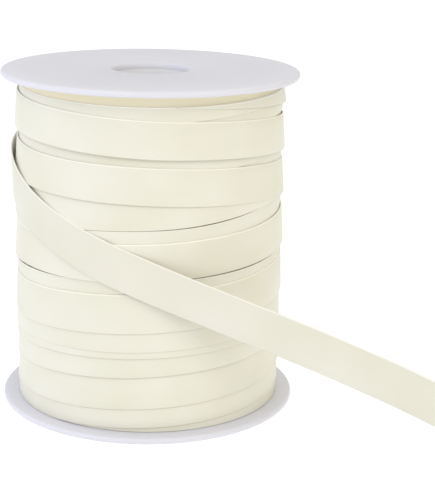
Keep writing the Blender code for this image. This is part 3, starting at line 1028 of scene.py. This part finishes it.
class TapeRollColours(bpy.types.PropertyGroup):
    """Colours of the tape, the spool and the floor"""
    # Painted sheen: the satin is mixed in clouds from tape_shade to tape_light, which paint its soft gleams
    tape_light: colour_property("Tape light", "Ivory of the satin", "#E7E5D9")
    tape_shade: colour_property("Tape shade", "Ivory in the cloudy patches", "#DDDBC7")
    # Painted highlight along the pressed folds
    tape_fold_highlight: colour_property("Tape fold", "Ivory along the pressed folds", "#FAF8EE")
    # Painted shade along the lower fold's edge
    tape_fold_shade: colour_property("Tape underside", "Ivory where the lower fold turns under", "#B4AE93")
    # Painted shade: the free end is multiplied by bare_cloth_shade, a little greyer
    bare_cloth_shade: colour_property("See-through", "What the satin loses with no layers behind it", "#FAFAFA")
    # Painted shade: both under-layer creams are warmer than the tape, for light bounced between the layers
    under_light: colour_property("Under layer light", "Cream of the inner layers", "#F2EBD2")
    under_shade: colour_property("Under layer shade", "Cream of the inner layers' folds", "#ECE4C4")
    plastic_light: colour_property("Plastic light", "White of the spool", "#DADAE2")
    plastic_shade: colour_property("Plastic shade", "White in the flow marks", "#D5D5DE")
    floor: colour_property("Floor", "Colour of the floor", "#888888")


class TapeRollSizes(bpy.types.PropertyGroup):
    """Sizes of the tape and the spool"""
    tape_thickness: length_property("Tape thickness", "Thickness of the folded tape", 0.6 * MM)
    slit_width: length_property("Slit width", "Gap between the two folded sides at the tape's back", 1.1 * MM)
    slit_depth: length_property("Slit depth", "Depth of that gap", 0.26 * MM)
    waviness: length_property("Waviness", "How far the cloth waves in and out", 0.12 * MM)
    bore_radius: length_property("Bore radius", "Radius of the spool's hole", 12.7 * MM)
    mouth_flare: length_property("Mouth flare", "How far the hole widens at its mouth", 1.2 * MM)
    mouth_depth: length_property("Mouth depth", "How deep the hole's mouth widens", 3.6 * MM)
    rim_rounding: length_property("Rim rounding", "Rounding of the flange's edge", 0.95 * MM)


class TAPEROLL_OT_loose_tape(bpy.types.Operator):
    """Make the free end of the tape, round the roll and down to the floor"""
    bl_idname = "tape_roll.loose_tape"
    bl_label = "Loose tape"

    def execute(self, context):
        make_loose_tape()
        return {"FINISHED"}


class TAPEROLL_OT_wound_tape(bpy.types.Operator):
    """Make the turns of tape wound on the spool"""
    bl_idname = "tape_roll.wound_tape"
    bl_label = "Wound tape"

    def execute(self, context):
        make_wound_tape()
        return {"FINISHED"}


class TAPEROLL_OT_spool(bpy.types.Operator):
    """Make the two flanges and the core tube"""
    bl_idname = "tape_roll.spool"
    bl_label = "Spool"

    def execute(self, context):
        make_spool()
        return {"FINISHED"}


class TAPEROLL_OT_stage(bpy.types.Operator):
    """Make the camera, the floor and the soft studio light"""
    bl_idname = "tape_roll.stage"
    bl_label = "Stage"

    def execute(self, context):
        make_camera()
        make_stage()
        return {"FINISHED"}


class TAPEROLL_PT_panel(bpy.types.Panel):
    """The operators, sizes and colours of the roll in the sidebar"""
    bl_label = "Tape Roll"
    bl_idname = "TAPEROLL_PT_panel"
    bl_space_type = "VIEW_3D"
    bl_region_type = "UI"
    bl_category = "Tape Roll"

    def draw(self, context):
        for operator in OPERATORS:
            self.layout.operator(operator.bl_idname)
        for name in TapeRollSizes.__annotations__:
            self.layout.prop(context.scene.tape_roll_sizes, name)
        for name in TapeRollColours.__annotations__:
            self.layout.prop(context.scene.tape_roll_colours, name)


OPERATORS = (TAPEROLL_OT_stage, TAPEROLL_OT_loose_tape, TAPEROLL_OT_wound_tape, TAPEROLL_OT_spool)
CLASSES = (TapeRollColours, TapeRollSizes) + OPERATORS + (TAPEROLL_PT_panel,)


def register():
    """Register the classes and hang the properties on the scene."""
    for each in CLASSES:
        bpy.utils.register_class(each)
    bpy.types.Scene.tape_roll_colours = bpy.props.PointerProperty(type=TapeRollColours)
    bpy.types.Scene.tape_roll_sizes = bpy.props.PointerProperty(type=TapeRollSizes)


def unregister():
    """Take the properties and the classes away again."""
    del bpy.types.Scene.tape_roll_colours
    del bpy.types.Scene.tape_roll_sizes
    for each in reversed(CLASSES):
        bpy.utils.unregister_class(each)


def main():
    """Register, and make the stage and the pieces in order."""
    register()
    bpy.ops.tape_roll.stage()
    bpy.ops.tape_roll.loose_tape()
    bpy.ops.tape_roll.wound_tape()
    bpy.ops.tape_roll.spool()


if __name__ == "__main__":
    main()
